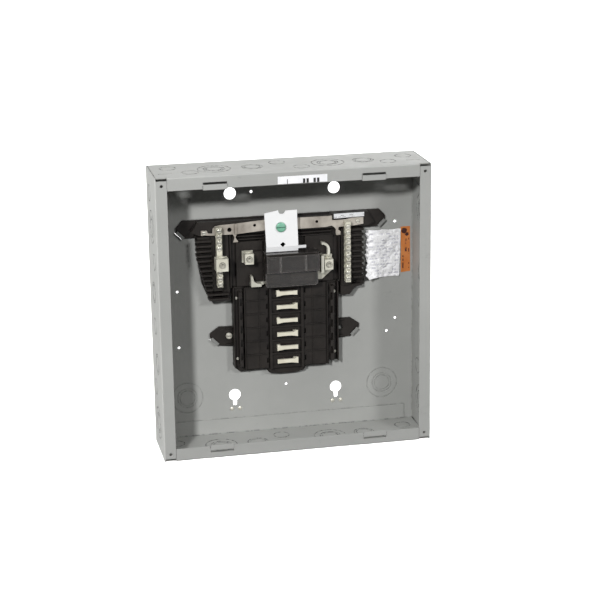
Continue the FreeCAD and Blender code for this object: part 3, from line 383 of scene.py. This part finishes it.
# One finish per material slot of the record.
FINISHES = {
    "enclosure_paint": painted_sheet("grey_paint", linear(173, 174, 171), linear(165, 166, 163),
                                     linear(112, 110, 106)),
    "white_label": paper("white_label_stock", linear(252, 252, 254), linear(240, 241, 244)),
    "orange_label": paper("orange_label_stock", linear(214, 136, 76), linear(203, 117, 55),
                          marks=ORANGE_MARKS),
    "silver_label": paper("silver_label_stock", linear(240, 241, 242), linear(218, 220, 222), 0.4,
                          marks=WING_MARKS),
    "black_moulding": moulding("black_moulding", linear(34, 31, 29), linear(46, 42, 39),
                               specular=0.25, dusty=0.25),
    "rail_moulding": moulding("rail_moulding", linear(34, 31, 29), linear(46, 42, 39),
                              specular=0.3, dusty=0.35),
    "smoked_plastic": smoked("smoked_plastic", linear(84, 80, 77)),
    "tinned_bus": plated("tinned_bus", linear(250, 246, 228), linear(226, 221, 200),
                         (0.34, 0.54), (12, 1, 1), tarnish=0.2, metallic=0.2),
    "tinned_link": plated("tinned_link", linear(228, 227, 214), linear(186, 184, 170),
                          metallic=0.35),
    "pad_steel": plated("pad_steel", linear(190, 190, 188), linear(150, 150, 148)),
    "set_screw_steel": plated("set_screw_steel", linear(214, 212, 200), linear(182, 180, 168),
                              metallic=0.4),
    "lug_aluminium": plated("lug_aluminium", linear(240, 238, 224), linear(206, 203, 186),
                            (0.28, 0.46), metallic=0.2),
    "bar_aluminium": plated("bar_aluminium", linear(240, 237, 220), linear(190, 186, 168),
                            (0.25, 0.45), metallic=0.2),
    "strap_metal": plated("strap_metal", linear(212, 205, 194), linear(150, 142, 132),
                          (0.30, 0.50), (12, 1, 1), metallic=0.3),
    "bonding_plate_metal": plated("bonding_plate_metal", linear(255, 255, 255),
                                  linear(250, 251, 252), (0.34, 0.54), (1, 1, 10), 700, 0.05,
                                  0.05),
    "spacer_aluminium": plated("spacer_aluminium", linear(205, 205, 205), linear(170, 170, 170)),
    "green_screw": plated("green_screw", linear(158, 214, 190), linear(62, 156, 116),
                          (0.2, 0.4), grain=500, tarnish=0.35, metallic=0.2),
    "zinc_screws": plated("zinc_screws", linear(240, 238, 226), linear(196, 193, 180),
                          (0.18, 0.4), metallic=0.4),
}
# These two labels share a slot but carry marks of their own.
PRINTED = {
    "id_label": paper("id_label_print", linear(250, 250, 251), linear(238, 239, 241),
                      marks=BAR_MARKS),
    "wiring_label": paper("wiring_sheet_print", linear(255, 255, 255), linear(246, 246, 249),
                          marks=SHEET_MARKS),
}
slot_of = {part["node"]: part["material_slot"] for part in frame["record"]["subparts"]}
for name, node in nodes.items():
    for slot in node.material_slots:
        slot.material = PRINTED.get(name, FINISHES[slot_of[name]])


# ---------------------------------------------------------------- detail pieces
def new_piece(name, corners, faces, slot, body="load_center", stands_for=()):
    """Add a mesh (metres) that rides on a body and takes a record slot's finish.

    stands_for names the nodes it is shown in place of.
    """
    mesh = bpy.data.meshes.new(name)
    mesh.from_pydata(corners, [], faces)
    mesh.update()
    for polygon in mesh.polygons:
        polygon.use_smooth = True
    mesh.materials.append(FINISHES[slot])
    piece = bpy.data.objects.new(name, mesh)
    bpy.context.collection.objects.link(piece)
    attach(piece, body)
    if stands_for:
        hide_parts(*stands_for)
    return piece


def rings_to_faces(rows, around, first=0):
    """Quads between neighbouring rings of equal length."""
    faces = []
    for row in range(rows - 1):
        for k in range(around):
            here, after = first + row * around + k, first + row * around + (k + 1) % around
            faces.append((here, after, after + around, here + around))
    return faces


THREAD_PITCH = 1.5 * MM
THREAD_DEPTH = 0.5 * MM
THREAD_RUNOUT = 0.6 * MM       # length over which the thread fades out at both ends
THREAD_FLANK = 1.25            # steepness of the flanks; the groove takes 1 / 1.25 of the pitch
CHAMFER_WIDE = 0.25 * MM
CHAMFER_DEEP = 0.2 * MM
SOCKET_DEPTH = 3.4 * MM
SOCKET_POINT = 4.2 * MM        # depth of the drilled point under the socket
TINY = 0.0001 * MM             # radius of a closed ring


def threaded_screw(node, body, socket):
    """Hexagon-socket set screw with its real thread, in place of the plain cylinder."""
    low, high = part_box(node)
    centre_x, centre_z = (low.x + high.x) / 2, (low.z + high.z) / 2
    radius = (high.x - low.x) / 2
    length = high.y - low.y
    around, per_turn = 48, 8
    rows = int(length / THREAD_PITCH * per_turn)
    corners = []

    def add_ring(height, radius_at):
        """A ring of corners at a height above the tip."""
        for k in range(around):
            angle = 2 * math.pi * k / around
            r = radius_at(angle)
            corners.append((centre_x + r * math.cos(angle), high.y - height,
                            centre_z + r * math.sin(angle)))

    def thread_radius(height):
        """Radius of the thread at this height, as a function of the angle."""
        def at(angle):
            phase = (height / THREAD_PITCH - angle / (2 * math.pi)) % 1.0
            groove = max(0.0, 1.0 - abs(2 * phase - 1) * THREAD_FLANK)
            from_end = min(height, length - height)
            runout = min(1.0, from_end / THREAD_RUNOUT)
            return radius - THREAD_DEPTH * max(groove, 1.0 - max(0.0, runout))
        return at

    def hexagon(angle):
        """Radius of the hexagon socket; socket is half its width over flats."""
        return socket / math.cos((angle % (math.pi / 3)) - math.pi / 6)

    add_ring(0.0, lambda angle: TINY)
    for row in range(rows + 1):
        height = length * row / rows
        add_ring(height, thread_radius(height))
    add_ring(length, lambda angle: hexagon(angle) + CHAMFER_WIDE)
    add_ring(length - CHAMFER_DEEP, hexagon)
    add_ring(length - SOCKET_DEPTH, hexagon)
    add_ring(length - SOCKET_POINT, lambda angle: TINY)
    faces = rings_to_faces(len(corners) // around, around)
    piece = new_piece(node + "_threaded", corners, faces, slot_of[node], body, (node,))
    hard = piece.modifiers.new("hard_edges", "EDGE_SPLIT")
    hard.split_angle = math.radians(50)


for lug, socket in (("main_lug_left", 2.3), ("main_lug_right", 2.3), ("neutral_lug", 2.0)):
    threaded_screw(lug + "_screw", lug + "_screw_body", socket * MM)


FOLDS, FINE_FOLDS, RIPPLES, EDGE_WAVES = 90, 230, 45, 90     # waves per metre
CURL_FADE = 1.6                # the curl ends 1 / 1.6 of the way along and up the sheet
SHEET_GAP = 0.1 * MM           # least air behind the sheet


def crumpled_sheet(node, ragged_left, slant_right, crease, curl):
    """Loose printed sheet stuck to the back: creased all over, left edge ragged, right edge
    slanting, and its lower left corner curled away from the wall."""
    low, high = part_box(node)
    across_count, up_count = 72, 90
    corners = []
    for row in range(up_count + 1):
        v = row / up_count
        z = low.z + (high.z - low.z) * v
        left = low.x + ragged_left * (0.5 + noise.noise(Vector((3.1, v * 9.0, 0.4))))
        left += ragged_left * 0.5 * noise.noise(Vector((8.7, v * 31.0, 2.2)))
        right = high.x - slant_right * (1.0 - v)
        for column in range(across_count + 1):
            u = column / across_count
            x = left + (right - left) * u
            spot = Vector((x, 0.0, z))
            fold = abs(noise.noise(spot * FOLDS))
            fold += 0.6 * abs(noise.noise(spot * FINE_FOLDS + Vector((5, 1, 2))))
            ripple = 0.5 + 0.5 * noise.noise(spot * RIPPLES)
            lift = crease * (0.25 + 1.1 * fold + 0.5 * ripple)
            corner = max(0.0, 1.0 - u * CURL_FADE) * max(0.0, 1.0 - v * CURL_FADE)
            lift += curl * corner ** 2
            wave = 0.8 * MM * noise.noise(Vector((x * EDGE_WAVES, 4.0, v * 2)))
            corners.append((x, high.y - SHEET_GAP - lift, z + wave))
    faces = []
    width = across_count + 1
    for row in range(up_count):
        for column in range(across_count):
            here = row * width + column
            faces.append((here, here + 1, here + width + 1, here + width))
    return new_piece(node + "_creased", corners, faces, slot_of[node], "load_center", (node,))


sheet = crumpled_sheet("wiring_label", 4.0 * MM, 2.2 * MM, 2.3 * MM, 12.0 * MM)
sheet.data.materials[0] = PRINTED["wiring_label"]

# Outlines of round marks: (share of the radius, share of the height).
RING = ((0.0, 0.25), (0.55, 0.3), (0.72, 1.0), (0.86, 1.0), (1.0, 0.0))
DOME = ((0.0, 1.0), (0.35, 0.92), (0.62, 0.72), (0.84, 0.38), (1.0, 0.0))


def raised_marks(name, slot, places, radius, height, facing, profile=RING):
    """Shallow round marks; places are (x, y, z) in mm, radius and height in metres."""
    around = 28
    axis = Vector(facing)
    side = Vector((1, 0, 0)) if abs(axis.x) < 0.5 else Vector((0, 1, 0))
    other = axis.cross(side)
    corners, faces = [], []
    for place in places:
        centre = Vector(place) * MM
        first = len(corners)
        for share, rise in profile:
            for k in range(around):
                angle = 2 * math.pi * k / around
                out = side * math.cos(angle) + other * math.sin(angle)
                corners.append(tuple(centre + out * radius * max(share, 0.01)
                                     + axis * height * rise))
        faces += rings_to_faces(len(profile), around, first)
    new_piece(name, corners, faces, slot)


SHEET_THICK = 1.5                           # the rear weld flanges' sheet, mm
BACK_FLANGE_IN, SIDE_FLANGE_IN = 11, 7      # weld rows, from the end walls' outer faces, mm
back_welds = [(across, WALL - SHEET_THICK, end * (HALF_HEIGHT - BACK_FLANGE_IN))
              for across in range(-150, 151, 60) for end in BOTH]
raised_marks("back_weld_marks", "enclosure_paint", back_welds, 3.0 * MM, 0.12 * MM, (0, -1, 0))
for side, word in zip(BOTH, ("left", "right")):
    side_welds = [(side * HALF_WIDTH, depth, end * (HALF_HEIGHT - SIDE_FLANGE_IN))
                  for depth in (-66, -44, -22) for end in BOTH]
    raised_marks("side_weld_marks_" + word, "enclosure_paint", side_welds, 2.8 * MM, 0.12 * MM,
                 (side, 0, 0))
# The dimples under the lower keyholes take the bright zinc finish as a painted highlight; on the
# real box they are pressed in the painted sheet.
highlight_dimples = [(side * 70.5 + step, WALL, -154.6) for side in BOTH for step in (-4.6, 6.8)]
raised_marks("keyhole_highlight_dimples", "zinc_screws", highlight_dimples, 2.9 * MM, 1.2 * MM, (0, -1, 0), DOME)

EJECTOR_HIGH = 0.14 * MM
base_marks = [(side * 46.5, WALL - 12.0, 0.3 - 19.05 * row) for side in BOTH for row in range(5)]
foot_marks = [(side * 86.0, WALL - 3.2, -41.5) for side in BOTH]
wing_marks = [(across, WALL - 14.0, 106.5) for across in (-112, 60.5, 112)]
for name, places, radius in (("base", base_marks, 2.4), ("foot", foot_marks, 2.0),
                             ("wing", wing_marks, 2.2)):
    raised_marks(name + "_ejector_marks", "black_moulding", places, radius * MM, EJECTOR_HIGH,
                 (0, -1, 0))


# ---------------------------------------------------------------- floor, light, camera
FLOOR_SIDES = 24
FLOOR_RINGS = ((6.0, 0.0), (22.0, 8.6))     # (radius, rise) in metres: flat disc, sloping rim


def add_floor():
    """Pale floor for the camera alone: it throws no light back and casts no shadow."""
    corners = []
    for reach, rise in FLOOR_RINGS:
        for step in range(FLOOR_SIDES):
            angle = 2 * math.pi * step / FLOOR_SIDES
            corners.append((reach * math.cos(angle), reach * math.sin(angle), rise))
    faces = [tuple(range(FLOOR_SIDES))] + rings_to_faces(len(FLOOR_RINGS), FLOOR_SIDES)
    mesh = bpy.data.meshes.new("studio_floor")
    mesh.from_pydata(corners, [], faces)
    floor = bpy.data.objects.new("studio_floor", mesh)
    floor.location.z = cad_low.z
    bpy.context.collection.objects.link(floor)
    finish = Finish("pale_floor", roughness=0.9, specular=0.1)
    finish.colour(finish.mix(finish.noise(0.8, 3), linear(246, 246, 246), linear(250, 250, 250)))
    mesh.materials.append(finish.material)
    floor.visible_diffuse = False
    floor.visible_glossy = False
    floor.visible_shadow = False
    return floor


studio_floor = add_floor()
world = bpy.data.worlds.new("studio")
world.use_nodes = True
background = world.node_tree.nodes["Background"]
background.inputs["Color"].default_value = (1.0, 1.0, 1.0, 1.0)
background.inputs["Strength"].default_value = 0.078
bpy.context.scene.world = world

KEY_WAY = Vector((0.53, 1.0, -0.53)).normalized()
FILL_WAY = Vector((-0.5, 1.0, -0.56)).normalized()
LAMP_AWAY = 2.6
LAMPS = {    # place and diameter in metres, power in watts; all aim at the origin
    "key": (-KEY_WAY * LAMP_AWAY, 0.22, 48.5),
    "right_fill": (-FILL_WAY * LAMP_AWAY, 0.4, 18.5),
    "left_soft": (Vector((-3.0, 0.05, 0.3)), 1.8, 92),
    "right_soft": (Vector((3.0, 0.35, 0.3)), 1.8, 34),
    "top_soft": (Vector((-0.2, -0.36, 3.0)), 1.8, 37),
    "front_sheen": (Vector((0.55, -2.5, -0.72)), 1.5, 5),
    "rear_soft": (Vector((1.2, 2.6, 1.8)), 2.4, 40),
}


def soft_lamp(name, place, size, power):
    """A disk lamp aimed at the origin."""
    data = bpy.data.lights.new(name, "AREA")
    data.shape = "DISK"
    data.size = size
    data.energy = power
    lamp = bpy.data.objects.new(name, data)
    lamp.location = place
    lamp.rotation_mode = "QUATERNION"
    lamp.rotation_quaternion = (-place).to_track_quat("-Z", "Y")
    bpy.context.collection.objects.link(lamp)
    return lamp


lamps = {name: soft_lamp(name, *settings) for name, settings in LAMPS.items()}
for name in ("left_soft", "right_soft"):
    lamps[name].visible_glossy = False        # no glare on the walls at grazing angles
lamps["front_sheen"].visible_diffuse = False  # brightens reflections only

wash = bpy.data.lights.new("floor_wash", "SUN")
wash.energy = 6.0
wash.angle = math.radians(70)
wash_lamp = bpy.data.objects.new("floor_wash", wash)
bpy.context.collection.objects.link(wash_lamp)
floor_only = bpy.data.collections.new("floor_only")
floor_only.objects.link(studio_floor)
wash_lamp.light_linking.receiver_collection = floor_only
bpy.context.scene.view_settings.view_transform = "Standard"

# The camera fitted to the photograph: place in metres, angles in degrees, lens and sensor in mm.
CAMERA_PLACE = Vector((-0.4589, -2.2998, 0.6679))
YAW, PITCH_DOWN, ROLL = (math.radians(angle) for angle in (11.82, 16.04, -0.85))
look = Vector((math.sin(YAW) * math.cos(PITCH_DOWN), math.cos(YAW) * math.cos(PITCH_DOWN),
               -math.sin(PITCH_DOWN)))
level_right = Vector((math.cos(YAW), -math.sin(YAW), 0))
level_up = level_right.cross(look)
camera_right = level_right * math.cos(ROLL) + level_up * math.sin(ROLL)
camera_up = level_up * math.cos(ROLL) - level_right * math.sin(ROLL)
camera_data = bpy.data.cameras.new("camera")
camera_data.lens = 108.2
camera_data.sensor_width = 36.0
camera_data.clip_end = 600              # far past the floor's rim
camera = bpy.data.objects.new("camera", camera_data)
turn = Matrix((camera_right, camera_up, -look)).transposed().to_4x4()
camera.matrix_world = Matrix.Translation(CAMERA_PLACE) @ turn
bpy.context.collection.objects.link(camera)
bpy.context.scene.camera = camera
